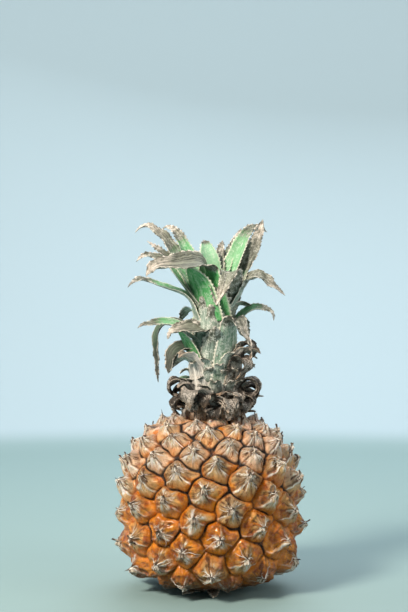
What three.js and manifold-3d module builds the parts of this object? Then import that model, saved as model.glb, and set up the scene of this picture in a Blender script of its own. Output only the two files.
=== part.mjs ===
// A small whole pineapple, standing on its cut stalk: the eyed fruit, the stalk stub with its basal
// bracts, the green crown with its stem, and the withered leaves round the crown's foot.
// Millimetres, +Z up. The origin is on the resting surface, under the middle of the fruit.
// Azimuth 0 faces -Y, the front, and 90 faces +X.

import * as THREE from "three";
import { mergeVertices } from "three/addons/utils/BufferGeometryUtils.js";
import Module from "manifold-3d";

const wasm = await Module();
wasm.setup();

const RAD = Math.PI / 180;
const GOLDEN_ANGLE = 137.508;
const CLEARANCE = 0.35;
const DETAIL = 0.15;

// The fruit at the bottom of its grooves is a superellipsoid about this centre.
const CENTRE_Z = 43;
const BELLY_RADIUS = 42;
const TOP_HALF_HEIGHT = 44.5;
const BASE_HALF_HEIGHT = 39;
const TOP_SQUARENESS = 2.7;
const BASE_SQUARENESS = 3.6;
const UNDERSIDE_Z = 1.5;
const UNDERSIDE_RELIEF = 0.4;
const UNDERSIDE_FROM_COS = -0.6;

// Eyes, numbered from the top down. Each takes a share of the cosine of the polar angle.
const EYES = 98;
const FIRST_EYE_COS = 0.955;
const TOP_EYE_SHARE = 0.0118;
const BELLY_EYE_SHARE = 0.0245;
const SHARE_GROWS_FROM = 20;
const SHARE_GROWS_OVER = 36;
const FRONT_EYE = 48;
const FRONT_EYE_AZIMUTH = -3.1;
const SPIRAL_SQUEEZE = 10.1;
const SQUEEZE_SIDE = -5.8;
const SPIRAL_DRIFT = 0.45;
const DRIFT_SWING = 0.39;
const DRIFT_SIDE = 38;
const DRIFT_FROM_EYE = -26;
const DRIFT_TO_EYE = 34;

// Relief of one eye.
const DOME_HEIGHT = 4.4;
const DOME_SHOULDER = 7.6;
const CORNER_ROUNDING = 1.1;
const CONE_HEIGHT = 2.2;
const KEEL_HEIGHT = 0.7;
const BRACT_TIP_HEIGHT = 2.3;
const BRACT_TIP_REACH = 0.3;
const TIP_ABOVE_CENTRE = 0.27;
const RING_SHARES = [0.84, 0.55, 0.2];
const BORDER_STEPS = 1;
const CAP_RINGS = [0.6];

// The crown's stem stands a little to the right of the fruit's axis.
const CROWN_X = 1.5;
const STEM_PROFILE = [
  [88, 10.8],
  [96, 11],
  [118, 11],
  [138, 9.6],
  [148, 6.5],
  [153, 3],
];
const STEM_SIDES = 12;
const ROOT_DEPTH = 0.5;

// Dry leaf sheaths that wrap the foot of the stem and hold the withered leaves together.
const SHEATH_PROFILE = [
  [88.6, 14.6],
  [93, 15.2],
  [100, 13.6],
  [104, 12.2],
];

// Cross-section of a leaf, which thins and narrows towards its tip.
const BLADE_THICKNESS = 1.5;
const MARGIN_THICKNESS = 0.65;
const TOOTH_DEPTH = 0.5;

// The cut stalk under the fruit and the small dried bracts round it.
const STUB_RADIUS = 8.2;
const STUB_TOP_Z = 3;
const BASAL_BRACTS = 8;
const LONG_BRACT_EVERY = 5;
const LONG_BRACT = 23;

// A leaf grows from the stem at an azimuth and a height. Its tilt from the vertical goes from one
// angle to another round the share of its length named "at", over that share either side.
const leaf = (azimuth, z, length, width, tilt, tipTilt, at, over, more = {}) => ({
  azimuth, z, length, width, tilt, tipTilt, at, over,
  sway: 0, cup: 42, roll: 0, hook: 0, fat: 1, root: null, stations: 10, ...more,
});

// Living leaves that show from the front, from the crown's top down on each side.
const FRONT_LEAVES = [
  leaf(118, 142, 60, 17, 24, 70, 0.82, 0.18, { cup: 50, hook: 60, roll: -30, root: 1 }),
  leaf(104, 140, 57, 12, 27, 16, 0.7, 0.25, { cup: 35, roll: -60, root: 4, fat: 2.2 }),
  leaf(165, 141, 44, 13, 8, 40, 0.6, 0.3, { cup: 45 }),
  leaf(145, 142, 52, 12, 20, 40, 0.6, 0.3, { root: 2 }),
  leaf(204, 140, 43, 15, 4, 42, 0.8, 0.2, { cup: 40, fat: 2.2 }),
  leaf(-18, 137, 66, 21, 3, 92, 0.47, 0.1, { sway: -80, cup: 26, roll: 48, hook: 55, fat: 1.5 }),
  leaf(-112, 140, 68, 13, 28, 64, 0.75, 0.25, { hook: 70, roll: 40 }),
  leaf(-135, 142, 62, 12, 25, 54, 0.7, 0.3, { hook: 60, roll: 30 }),
  leaf(-100, 140, 52, 9, 26, 54, 0.6, 0.3, { roll: 50 }),
  leaf(-88, 141.5, 52, 10, 35, 78, 0.7, 0.2, { hook: 60, roll: 50 }),
  leaf(-80, 127.5, 60, 12, 17, 70, 0.42, 0.12, { cup: 35, hook: 75, roll: 28 }),
  leaf(-80, 123, 41, 11, 38, 90, 0.45, 0.3, { hook: 35, roll: 45 }),
  leaf(-22, 112, 46, 18, 6, 92, 0.5, 0.12, { sway: -66, cup: 26, roll: 40, hook: 70, fat: 1.4 }),
  leaf(-95, 132, 54, 9, 67, 182, 0.42, 0.2, { cup: 30, roll: 50 }),
  leaf(-76, 117, 29, 15, 50, 160, 0.5, 0.2, { cup: 40, roll: 30, fat: 1.6 }),
  leaf(80, 137, 50, 13, 30, 128, 0.62, 0.13, { cup: 45, roll: -45 }),
  leaf(88, 126, 40, 10, 32, 120, 0.65, 0.3, { hook: 60, roll: -45 }),
  leaf(64, 134, 54, 15, 12, 150, 0.6, 0.1, { sway: -130, cup: 28, fat: 1.2, root: 7 }),
  leaf(38, 97, 62, 17, 6, 142, 0.7, 0.08, { sway: 8, cup: 35, fat: 1.4, root: 10 }),
  leaf(-10, 134, 36, 11, 6, 165, 0.68, 0.1, { sway: 40, cup: 30 }),
  leaf(2, 97, 42, 19, 3, 34, 0.7, 0.25, { cup: 40, fat: 1.6, root: 9.8 }),
  leaf(-52, 139, 31, 23, 14, 30, 0.6, 0.3, { cup: 32, fat: 2, root: 6, stations: 6 }),
  leaf(-58, 112, 27, 13, 22, 34, 0.6, 0.3, { cup: 35, fat: 1.6, root: 10, stations: 6 }),
];

// Leaves at the back carry on the same habit. The ones nearer the sides are shorter.
const BACK_LEAVES = 14;
const BACK_TOP_Z = 137;
const BACK_STEP_Z = 2.9;
const BACK_SPREAD = 170;
const BACK_WIDTH = 13;

// Withered leaves at the foot of the crown, most of them curled up.
const DRY_LEAVES = [
  leaf(-46, 95, 34, 18, 8, 110, 0.8, 0.2, { cup: 50, fat: 1.5, root: 12.6 }),
  leaf(66, 95, 38, 17, 8, 120, 0.8, 0.2, { cup: 50, fat: 1.5, root: 12.6 }),
  leaf(75, 97, 36, 13, 22, 350, 0.6, 0.42, { cup: 30, fat: 1.5, root: 11, stations: 12 }),
  leaf(52, 100, 38, 12, 8, 230, 0.62, 0.22, { cup: 30, fat: 1.3, root: 12.6 }),
  leaf(66, 100, 46, 12, 6, 235, 0.68, 0.2, { cup: 30, fat: 1.3, root: 12.6 }),
  leaf(-82, 101.5, 24, 12, 46, 260, 0.6, 0.35, { cup: 30, fat: 1.3, root: 11 }),
  leaf(-30, 95, 24, 16, 30, 200, 0.6, 0.35, { cup: 30, root: 13 }),
  leaf(24, 94, 18, 13, 40, 220, 0.6, 0.35, { cup: 30, root: 13 }),
];

const CURLED_LEAVES = 20;
const CURLED_FROM_Z = 91.5;
const CURLED_STEP_Z = 0.42;
const CURLED_WIDTH = 12;

// A repeatable draw from 0 to 1 for the nth small variation.
const draw = (n) => {
  const x = Math.sin(n * 127.1 + 311.7) * 43758.5453;
  return x - Math.floor(x);
};

const clamp01 = (t) => Math.min(1, Math.max(0, t));
const smooth = (t) => clamp01(t) ** 2 * (3 - 2 * clamp01(t));

function alongProfile(profile, z) {
  const last = profile.length - 1;
  if (z <= profile[0][0]) return profile[0][1];
  if (z >= profile[last][0]) return profile[last][1];
  const i = profile.findIndex(([height]) => height > z);
  const [[z0, r0], [z1, r1]] = [profile[i - 1], profile[i]];
  return r0 + ((r1 - r0) * (z - z0)) / (z1 - z0);
}

// Solids: a mesh of loose triangles becomes a manifold, and back.

function toManifold(positions) {
  const loose = new THREE.BufferGeometry();
  loose.setAttribute("position", new THREE.Float32BufferAttribute(positions, 3));
  const merged = mergeVertices(loose, 1e-3);
  return new wasm.Manifold(
    new wasm.Mesh({
      numProp: 3,
      vertProperties: merged.attributes.position.array,
      triVerts: new Uint32Array(merged.index.array),
    }),
  );
}

// Cuts leave loose scraps, and fused leaves close off pockets, so only the largest shell is kept.
function largestShell({ vertProperties: points, triVerts: corners, numVert }) {
  const parent = Array.from({ length: numVert }, (_, i) => i);
  const rootOf = (i) => {
    while (parent[i] !== i) i = parent[i] = parent[parent[i]];
    return i;
  };
  for (let i = 0; i < corners.length; i += 3) {
    parent[rootOf(corners[i])] = rootOf(corners[i + 1]);
    parent[rootOf(corners[i + 1])] = rootOf(corners[i + 2]);
  }
  const volumes = new Map();
  for (let i = 0; i < corners.length; i += 3) {
    const [a, b, c] = [0, 1, 2].map((n) =>
      new THREE.Vector3().fromArray(points, corners[i + n] * 3));
    const root = rootOf(corners[i]);
    volumes.set(root, (volumes.get(root) ?? 0) + a.dot(b.cross(c)) / 6);
  }
  const largest = [...volumes].reduce((best, shell) => (shell[1] > best[1] ? shell : best))[0];
  return corners.filter((_, i) => rootOf(corners[i - (i % 3)]) === largest);
}

function toGeometry(solid) {
  const mesh = solid.getMesh();
  const points = new THREE.BufferGeometry();
  points.setAttribute("position", new THREE.BufferAttribute(mesh.vertProperties, 3));
  points.setIndex(new THREE.BufferAttribute(largestShell(mesh), 1));
  const geometry = mergeVertices(points.toNonIndexed(), 1e-3);
  geometry.computeVertexNormals();
  return geometry;
}

const joined = (solids) => solids.reduce((all, solid) => all.add(solid));

// The eyes and the fruit's surface.

function eyeCentres() {
  const centres = [];
  let cosine = FIRST_EYE_COS;
  for (let i = 0; i < EYES; i++) {
    const growth = smooth((i - SHARE_GROWS_FROM) / SHARE_GROWS_OVER);
    const share = TOP_EYE_SHARE + (BELLY_EYE_SHARE - TOP_EYE_SHARE) * growth;
    const step = i - FRONT_EYE;
    const turn = ((((step * GOLDEN_ANGLE + 180) % 360) + 360) % 360) - 180;
    const drifting = Math.min(DRIFT_TO_EYE, Math.max(DRIFT_FROM_EYE, step));
    const squeeze = Math.sin((turn - SQUEEZE_SIDE) * RAD) + Math.sin(SQUEEZE_SIDE * RAD);
    const swing = Math.max(-0.3, Math.cos((turn - DRIFT_SIDE) * RAD));
    const azimuth = FRONT_EYE_AZIMUTH + turn - SPIRAL_SQUEEZE * squeeze
      + drifting * (SPIRAL_DRIFT - DRIFT_SWING * swing);
    centres.push(eyeAt(Math.max(-0.97, cosine), azimuth, share));
    cosine -= share;
  }
  centres.push({ ...eyeAt(1, 0, TOP_EYE_SHARE), cap: true });
  centres.push({ ...eyeAt(-1, 0, BELLY_EYE_SHARE), cap: true });
  return centres;
}

function eyeAt(cosine, azimuth, share) {
  const sine = Math.sqrt(1 - cosine * cosine);
  const [s, c] = [Math.sin(azimuth * RAD), Math.cos(azimuth * RAD)];
  const towards = new THREE.Vector3(sine * s, -sine * c, cosine);
  const across = new THREE.Vector3(c, s, 0);
  const up = new THREE.Vector3().crossVectors(towards, across);
  return { towards, across, up, halfSize: 0.5 * Math.sqrt(2 * Math.PI * share) };
}

// Distance from the fruit's centre to the groove surface, along a unit vector.
function grooveDistance(u) {
  const half = u.z > 0 ? TOP_HALF_HEIGHT : BASE_HALF_HEIGHT;
  const power = u.z > 0 ? TOP_SQUARENESS : BASE_SQUARENESS;
  const flat = Math.hypot(u.x, u.y) / BELLY_RADIUS;
  const high = Math.abs(u.z) / half;
  return (flat ** power + high ** power) ** (-1 / power);
}

// Height of an eye's relief, in millimetres. The border is the distance to its groove, and x and y
// are measured from its centre in shares of its half size, y upwards.
function relief(border, x, y) {
  const fromTip = Math.hypot(x, y - TIP_ABOVE_CENTRE);
  const wall = Math.sqrt(1 - (1 - Math.min(1, border / DOME_SHOULDER)) ** 2);
  const dome = DOME_HEIGHT * wall;
  const cone = CONE_HEIGHT * wall * Math.max(0, 1 - fromTip);
  const keel = y < TIP_ABOVE_CENTRE ? KEEL_HEIGHT * wall * Math.exp(-((x / 0.22) ** 2)) : 0;
  const tip = BRACT_TIP_HEIGHT * Math.max(0, 1 - fromTip / BRACT_TIP_REACH) ** 1.4;
  return dome + cone + keel + tip;
}

function fruitPoint(u, eye, centres, rise) {
  let height = rise;
  if (!eye.cap) {
    const reach = grooveDistance(u);
    let crowding = 0;
    for (const other of centres) {
      if (other === eye) continue;
      const between = eye.towards.clone().sub(other.towards).normalize();
      crowding += Math.exp((-u.dot(between) * reach) / CORNER_ROUNDING);
    }
    const border = -CORNER_ROUNDING * Math.log(crowding);
    const offset = u.clone().sub(eye.towards);
    const x = offset.dot(eye.across) / eye.halfSize;
    const y = offset.dot(eye.up) / eye.halfSize;
    const pressed = 1 - (1 - UNDERSIDE_RELIEF) * smooth((UNDERSIDE_FROM_COS - u.z) / 0.25);
    height += relief(Math.max(0, border), x, y) * Math.min(1, eye.halfSize / 0.17) * pressed;
  }
  const point = u.clone().multiplyScalar(grooveDistance(u) + height);
  point.z += CENTRE_Z;
  return point;
}

// The directions round an eye's border: its cell among the centres, clipped by each bisector in the
// plane that touches the unit sphere at its centre.
function cellBorder(eye, centres) {
  let cell = [[-1, -1], [1, -1], [1, 1], [-1, 1]];
  for (const other of centres) {
    if (other === eye || eye.towards.dot(other.towards) < 0.2) continue;
    const between = eye.towards.clone().sub(other.towards);
    const [k, kx, ky] = [eye.towards.dot(between), eye.across.dot(between), eye.up.dot(between)];
    const side = ([x, y]) => k + kx * x + ky * y;
    const kept = [];
    cell.forEach((a, i) => {
      const b = cell[(i + 1) % cell.length];
      const [sa, sb] = [side(a), side(b)];
      if (sa >= 0) kept.push(a);
      if (sa >= 0 !== sb >= 0) {
        const t = sa / (sa - sb);
        kept.push([a[0] + (b[0] - a[0]) * t, a[1] + (b[1] - a[1]) * t]);
      }
    });
    cell = kept;
  }
  return cell.map(([x, y]) =>
    eye.towards.clone().addScaledVector(eye.across, x).addScaledVector(eye.up, y).normalize(),
  );
}

function fruitSolid(rise = 0) {
  const centres = eyeCentres();
  const positions = [];
  const face = (...corners) => corners.forEach((p) => positions.push(p.x, p.y, p.z));
  for (const eye of centres) {
    const corners = cellBorder(eye, centres);
    const border = corners.flatMap((a, i) => {
      const b = corners[(i + 1) % corners.length];
      return Array.from({ length: BORDER_STEPS }, (_, n) =>
        a.clone().multiplyScalar(BORDER_STEPS - n).addScaledVector(b, n).normalize());
    });
    const peak = eye.towards.clone();
    if (!eye.cap) peak.addScaledVector(eye.up, TIP_ABOVE_CENTRE * eye.halfSize).normalize();
    const ringAt = (share) => border.map((u) =>
      fruitPoint(peak.clone().lerp(u, share).normalize(), eye, centres, rise));
    const shares = eye.cap ? CAP_RINGS : RING_SHARES;
    let outer = border.map((u) => fruitPoint(u, { cap: true }, centres, rise));
    for (const share of shares) {
      const inner = ringAt(share);
      outer.forEach((p, i) => {
        const j = (i + 1) % outer.length;
        face(p, outer[j], inner[j]);
        face(p, inner[j], inner[i]);
      });
      outer = inner;
    }
    const top = fruitPoint(peak, eye, centres, rise);
    outer.forEach((p, i) => face(p, outer[(i + 1) % outer.length], top));
  }
  return toManifold(positions);
}

// Leaves.

function midrib(spec) {
  const points = [];
  const start = spec.azimuth * RAD;
  const root = spec.root ?? alongProfile(STEM_PROFILE, spec.z) * ROOT_DEPTH;
  const at = new THREE.Vector3(CROWN_X + root * Math.sin(start), -root * Math.cos(start), spec.z);
  const last = spec.stations - 1;
  let before = null;
  for (let i = 0; i <= last; i++) {
    const s = i / last;
    const bend = smooth((s - spec.at + spec.over) / (2 * spec.over));
    const hook = spec.hook * smooth((s - 0.8) / 0.2);
    const tilt = (spec.tilt + (spec.tipTilt - spec.tilt) * bend + hook) * RAD;
    const azimuth = (spec.azimuth + spec.sway * s) * RAD;
    const [outX, outY] = [Math.sin(azimuth), -Math.cos(azimuth)];
    const along = new THREE.Vector3(Math.sin(tilt) * outX, Math.sin(tilt) * outY, Math.cos(tilt));
    if (before) at.addScaledVector(before.clone().add(along), spec.length / last / 2);
    before = along;
    const side = new THREE.Vector3(-outY, outX, 0).applyAxisAngle(along, -spec.roll * s * RAD);
    const upper = new THREE.Vector3().crossVectors(along, side);
    points.push({ s, at: at.clone(), side, upper });
  }
  return points;
}

const bladeWidth = (spec, s) =>
  spec.width * clamp01(1 - s ** (2 * spec.fat)) ** 0.85 * (1.08 - 0.16 * s);

// A blade is a closed strip of six-cornered sections. It is a channel that opens to its upper side,
// and its margins step in and out from section to section, as teeth.
function bladeSolid(spec, grow = 0) {
  const cup = spec.cup * RAD;
  const rings = midrib(spec).map(({ s, at, side, upper }, i) => {
    const tooth = i > 0 && s < 0.97 ? TOOTH_DEPTH * (i % 2 ? 1 : -1) : 0;
    const half = Math.max(0.6, bladeWidth(spec, s) / 2 + tooth) + grow;
    const thick = (BLADE_THICKNESS * (1 - 0.4 * s)) / 2 + grow;
    const edge = MARGIN_THICKNESS / 2 + grow;
    const rise = (half * (1 - Math.cos(cup))) / cup;
    const reach = (half * Math.sin(cup)) / cup;
    const place = (x, y) => at.clone().addScaledVector(side, x).addScaledVector(upper, y);
    return [
      place(-reach, rise + edge), place(-reach, rise - edge), place(0, -thick),
      place(reach, rise - edge), place(reach, rise + edge), place(0, thick),
    ];
  });
  const positions = [];
  const face = (...corners) => corners.forEach((p) => positions.push(p.x, p.y, p.z));
  for (let i = 1; i < rings.length; i++)
    for (let j = 0; j < 6; j++) {
      const [low, high, k] = [rings[i - 1], rings[i], (j + 1) % 6];
      face(low[j], low[k], high[k]);
      face(low[j], high[k], high[j]);
    }
  for (const [a, b, c] of [[0, 2, 1], [0, 5, 2], [5, 3, 2], [5, 4, 3]]) {
    const [first, last] = [rings[0], rings[rings.length - 1]];
    face(first[a], first[b], first[c]);
    face(last[c], last[b], last[a]);
  }
  return toManifold(positions);
}

function turned(profile, grow = 0, sides = STEM_SIDES) {
  const outline = [
    new THREE.Vector2(0, profile[0][0] - grow),
    ...profile.map(([z, r], i) => new THREE.Vector2(r + grow, z - (i === 0 ? grow : 0))),
    new THREE.Vector2(0, profile[profile.length - 1][0] + grow),
  ];
  const lathe = new THREE.LatheGeometry(outline, sides).rotateX(Math.PI / 2).toNonIndexed();
  lathe.translate(CROWN_X, 0, 0);
  return toManifold(lathe.attributes.position.array);
}

function backLeaf(i) {
  const offset = (((i * GOLDEN_ANGLE) % 360) / 360 - 0.5) * BACK_SPREAD;
  const z = BACK_TOP_Z - BACK_STEP_Z * i;
  const length = (19 + 24 * Math.cos(offset * RAD) ** 3) * (0.9 + 0.2 * draw(i));
  return leaf(180 + offset, z, length, BACK_WIDTH + 4 * draw(i + 40), 8 + 1.5 * i,
    80 + 60 * draw(i + 80), 0.5, 0.3,
    { cup: 48, root: 0.85 * alongProfile(STEM_PROFILE, z), stations: 7 });
}

function curledLeaf(i) {
  return leaf(i * GOLDEN_ANGLE, CURLED_FROM_Z + CURLED_STEP_Z * i, 13 + 6 * draw(i + 160),
    CURLED_WIDTH, 40 + 20 * draw(i + 200), 190 + 80 * draw(i + 240), 0.6, 0.35,
    { cup: 30, root: 12.4, stations: 6 });
}

const times = (count, make) => Array.from({ length: count }, (_, i) => make(i));

function livingLeaves(grow = 0) {
  const leaves = [...FRONT_LEAVES, ...times(BACK_LEAVES, backLeaf)];
  return joined([turned(STEM_PROFILE, grow), ...leaves.map((spec) => bladeSolid(spec, grow))]);
}

function witheredLeaves() {
  const leaves = [...DRY_LEAVES, ...times(CURLED_LEAVES, curledLeaf)];
  return joined([turned(SHEATH_PROFILE), ...leaves.map((spec) => bladeSolid(spec))]);
}

function basalBract(i) {
  const length = i % LONG_BRACT_EVERY ? 7 + 6 * draw(i + 280) : LONG_BRACT;
  return leaf(i * GOLDEN_ANGLE, 0.35, length, 6, 90, 84 + 8 * draw(i + 320), 0.6, 0.3,
    { cup: 8, root: STUB_RADIUS - 1.5, stations: 4 });
}

function stalkSolid() {
  const stub = turned([[0, STUB_RADIUS], [STUB_TOP_Z, STUB_RADIUS * 0.9]]).translate(-CROWN_X, 0, 0);
  const bracts = times(BASAL_BRACTS, (i) => bladeSolid(basalBract(i)).translate(-CROWN_X, 0, 0));
  return joined([stub, ...bracts]).trimByPlane([0, 0, 1], 0);
}

const fruitClear = fruitSolid(CLEARANCE);
const solids = {
  fruit: fruitSolid().trimByPlane([0, 0, 1], UNDERSIDE_Z),
  stalk: stalkSolid().subtract(fruitClear.trimByPlane([0, 0, 1], UNDERSIDE_Z - CLEARANCE)),
  crown_leaves: livingLeaves().subtract(fruitClear),
  withered_leaves: witheredLeaves().subtract(fruitClear).subtract(livingLeaves(CLEARANCE)),
};
const looks = {
  fruit: { color: "#b5742a", roughness: 0.5 },
  stalk: { color: "#8a7253", roughness: 0.9 },
  crown_leaves: { color: "#7f9a78", roughness: 0.75 },
  withered_leaves: { color: "#5d5147", roughness: 0.85 },
};

const pineapple = new THREE.Group();
for (const [name, solid] of Object.entries(solids)) {
  const material = new THREE.MeshStandardMaterial({ ...looks[name], metalness: 0 });
  const mesh = new THREE.Mesh(toGeometry(solid.simplify(DETAIL)), material);
  mesh.name = name;
  pineapple.add(mesh);
}

export default pineapple;
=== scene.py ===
# %% [markdown]
# A small pineapple, modelled from the way that it grows
#
# A pineapple is many small fruits fused round one stem. Each shows as an "eye": a shield-shaped bulge
# with a papery bract that ends in a thorn. The eyes follow one spiral, a golden angle apart. On top the
# stem carries on as a crown of stiff, toothed leaves. We build the rind from the spiral, the leaves from
# their midribs, and every surface from nodes. Sizes are in millimetres until a mesh is made.

import math
from types import SimpleNamespace

import bpy
import numpy as np
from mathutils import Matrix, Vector, noise


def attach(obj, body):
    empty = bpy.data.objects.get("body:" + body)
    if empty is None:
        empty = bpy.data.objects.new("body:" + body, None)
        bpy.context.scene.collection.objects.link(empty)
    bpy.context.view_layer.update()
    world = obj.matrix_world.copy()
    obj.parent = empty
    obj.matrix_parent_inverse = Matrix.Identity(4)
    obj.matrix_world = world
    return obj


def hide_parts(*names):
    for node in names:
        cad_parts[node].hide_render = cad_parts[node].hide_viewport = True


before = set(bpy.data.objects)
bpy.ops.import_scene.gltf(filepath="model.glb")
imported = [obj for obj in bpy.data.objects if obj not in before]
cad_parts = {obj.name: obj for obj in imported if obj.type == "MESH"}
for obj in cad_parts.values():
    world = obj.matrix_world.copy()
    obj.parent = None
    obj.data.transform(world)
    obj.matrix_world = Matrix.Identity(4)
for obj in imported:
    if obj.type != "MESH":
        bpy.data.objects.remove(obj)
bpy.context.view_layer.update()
MM = 0.001

# %% [markdown]
# The camera
#
# The photograph is taken from a little above the fruit's middle, with a long lens. A camera that looks
# down by two degrees from 0.78 m gives the same view. It comes first, as all else is judged through it.

# %% Camera
CAMERA_PLACE = (-3.4, -780, 178)
CAMERA_PITCH = 87.71
LENS = 88.24

camera_data = bpy.data.cameras.new("camera")
camera_data.lens = LENS
camera = bpy.data.objects.new("camera", camera_data)
camera.location = [v * MM for v in CAMERA_PLACE]
camera.rotation_euler = (math.radians(CAMERA_PITCH), 0, 0)
bpy.context.scene.collection.objects.link(camera)
bpy.context.scene.camera = camera

# %% [markdown]
# Two helpers
#
# Every surface is a tree of nodes, and every piece a mesh made from arrays. With the first helper a
# material reads like a formula: a wire is a value in the tree, and what is done with it adds a node.
# The second turns points and faces into a piece and says how large it is.

# %% Node helper
def colour(code):
    """A colour from its web code, in the linear values that Blender's sockets take."""
    parts = [int(code[i:i + 2], 16) / 255 for i in (1, 3, 5)]
    return tuple(p / 12.92 if p <= 0.04045 else ((p + 0.055) / 1.055) ** 2.4 for p in parts) + (1.0,)


def arithmetic(operation):
    return lambda self, other=0.0: self.nodes.maths(operation, self, other)


class Wire:
    """A value in a tree of nodes."""

    def __init__(self, nodes, socket):
        self.nodes, self.socket = nodes, socket

    __add__, __sub__ = arithmetic("ADD"), arithmetic("SUBTRACT")
    __mul__, __truediv__ = arithmetic("MULTIPLY"), arithmetic("DIVIDE")
    __abs__, root, most = arithmetic("ABSOLUTE"), arithmetic("SQRT"), arithmetic("MAXIMUM")

    def __rsub__(self, number):
        return self.nodes.maths("SUBTRACT", number, self)

    def band(self, low, high, start=0.0, end=1.0):
        """Goes smoothly from start to end as the value goes from low to high."""
        sizes = {"Value": self, "From Min": low, "From Max": high, "To Min": start, "To Max": end}
        return self.nodes.add("ShaderNodeMapRange", sizes, interpolation_type="SMOOTHSTEP")[0]

    def mix(self, a, b):
        """Goes from colour a to colour b, with the value as the share of b."""
        return self.nodes.add("ShaderNodeMix", {0: self, 6: a, 7: b}, data_type="RGBA")[2]

    def noise(self, scale, detail=3.0, roughness=0.55):
        sizes = {"Vector": self, "Scale": scale, "Detail": detail, "Roughness": roughness}
        return self.nodes.add("ShaderNodeTexNoise", sizes)[0]

    def split(self):
        return self.nodes.add("ShaderNodeSeparateXYZ", {0: self})

    def bump(self, distance, strength=1.0, below=None):
        """A bump with the value as its height and a distance in mm, laid over another bump."""
        sizes = {"Height": self, "Distance": distance * MM, "Strength": strength}
        if below is not None:
            sizes["Normal"] = below
        return self.nodes.add("ShaderNodeBump", sizes)[0]


class Nodes:
    """A new material and its tree of nodes."""

    def __init__(self, name):
        self.material = bpy.data.materials.new(name)
        self.material.use_nodes = True
        self.tree = self.material.node_tree

    def feed(self, socket, value):
        """Links a wire to an input, or sets the input to a number, a vector or a web colour."""
        if isinstance(value, Wire):
            self.tree.links.new(value.socket, socket)
        else:
            socket.default_value = colour(value) if isinstance(value, str) else value

    def add(self, kind, inputs=(), **settings):
        """A new node, as a list of wires from its outputs."""
        node = self.tree.nodes.new(kind)
        for key, value in settings.items():
            setattr(node, key, value)
        for key, value in dict(inputs).items():
            self.feed(node.inputs[key], value)
        return [Wire(self, socket) for socket in node.outputs]

    def maths(self, operation, a, b):
        return self.add("ShaderNodeMath", {0: a, 1: b}, operation=operation)[0]

    def read(self, name):
        """A number that the mesh holds at each point."""
        return self.add("ShaderNodeAttribute", attribute_name=name)[2]

    def read_three(self, name):
        return self.add("ShaderNodeAttribute", attribute_name=name)[1].split()

    def position(self):
        return self.add("ShaderNodeNewGeometry")[0]

    def join(self, x, y, z):
        return self.add("ShaderNodeCombineXYZ", {0: x, 1: y, 2: z})[0]

    def done(self, **inputs):
        """Feeds the surface's own inputs and returns the material."""
        shader = next(node for node in self.tree.nodes if node.type == "BSDF_PRINCIPLED")
        for name, value in inputs.items():
            self.feed(shader.inputs[name.replace("_", " ").title()], value)
        print(f"{self.material.name}: a material of {len(self.tree.nodes)} nodes")
        return self.material

# %% Mesh helper
def add_mesh(name, points, faces, material, attributes=None):
    """A smooth-shaded object from points in millimetres. Attributes are arrays, one row a point."""
    mesh = bpy.data.meshes.new(name)
    mesh.from_pydata((np.asarray(points, float) * MM).tolist(), [], [list(f) for f in faces])
    mesh.shade_smooth()
    for key, values in (attributes or {}).items():
        values = np.asarray(values, np.float32)
        kind, slot_name = ("FLOAT", "value") if values.ndim == 1 else ("FLOAT_VECTOR", "vector")
        layer = mesh.attributes.new(key, kind, "POINT")
        layer.data.foreach_set(slot_name, values.ravel())
    mesh.materials.append(material)
    made = bpy.data.objects.new(name, mesh)
    bpy.context.scene.collection.objects.link(made)
    triangles = sum(len(p.vertices) - 2 for p in mesh.polygons)
    print(f"{name}: {len(mesh.vertices)} points, {triangles} triangles")
    return made


# %% [markdown]
# Floor and light
#
# The stage is one round sheet that curves up on all sides, so it looks alike from every view. Its flat
# part is a little darker and greener than its wall, like the table and wall of the photograph. The light
# is soft: a large window in front and to the left, a weaker wall on the right, and glows from behind.

# %% Floor
FLOOR_CENTRE_Y, FLOOR_RADIUS, FLAT_SHARE = -300, 800, 0.95
CURVE_RADIUS, CURVE_STEPS = 500, 16
RIM_HEIGHT, RIM_SIDES = 900, 96
FLOOR_TO_WALL, WALL_FROM_HEIGHT = ("#7d9799", "#a1b4bd"), 12 * MM


def floor_material():
    n = Nodes("pale_floor")
    height = n.position().split()[2]
    return n.done(base_color=height.band(0.0, WALL_FROM_HEIGHT).mix(*FLOOR_TO_WALL), roughness=0.7)


def floor_sheet():
    """A centre point and rings of points, from the flat part up the curve to the rim."""
    curve = [(FLOOR_RADIUS + CURVE_RADIUS * math.sin(a), CURVE_RADIUS * (1 - math.cos(a)))
             for a in np.linspace(0, math.pi / 2, CURVE_STEPS)]
    section = [(FLAT_SHARE * FLOOR_RADIUS, 0.0), *curve, (FLOOR_RADIUS + CURVE_RADIUS, RIM_HEIGHT)]
    turn = np.arange(RIM_SIDES) * 2 * math.pi / RIM_SIDES
    points = [(0, FLOOR_CENTRE_Y, 0)]
    points += [(r * math.cos(t), FLOOR_CENTRE_Y + r * math.sin(t), z) for r, z in section for t in turn]
    after = [(k + 1) % RIM_SIDES for k in range(RIM_SIDES)]
    faces = [(0, 1 + k, 1 + after[k]) for k in range(RIM_SIDES)]
    for inner in range(1, 1 + RIM_SIDES * (len(section) - 1), RIM_SIDES):
        outer = inner + RIM_SIDES
        faces += [(inner + k, outer + k, outer + after[k], inner + after[k]) for k in range(RIM_SIDES)]
    return points, faces


floor = add_mesh("floor", *floor_sheet(), floor_material())

# %% Lights
def add_light(name, place, aim, width, power, tint):
    data = bpy.data.lights.new(name, "AREA")
    data.size, data.energy, data.color = width * MM, power, colour(tint)[:3]
    light = bpy.data.objects.new(name, data)
    light.location = [v * MM for v in place]
    towards = (Vector(aim) - Vector(place)).normalized()
    light.rotation_euler = towards.to_track_quat("-Z", "Y").to_euler()
    bpy.context.scene.collection.objects.link(light)


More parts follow.
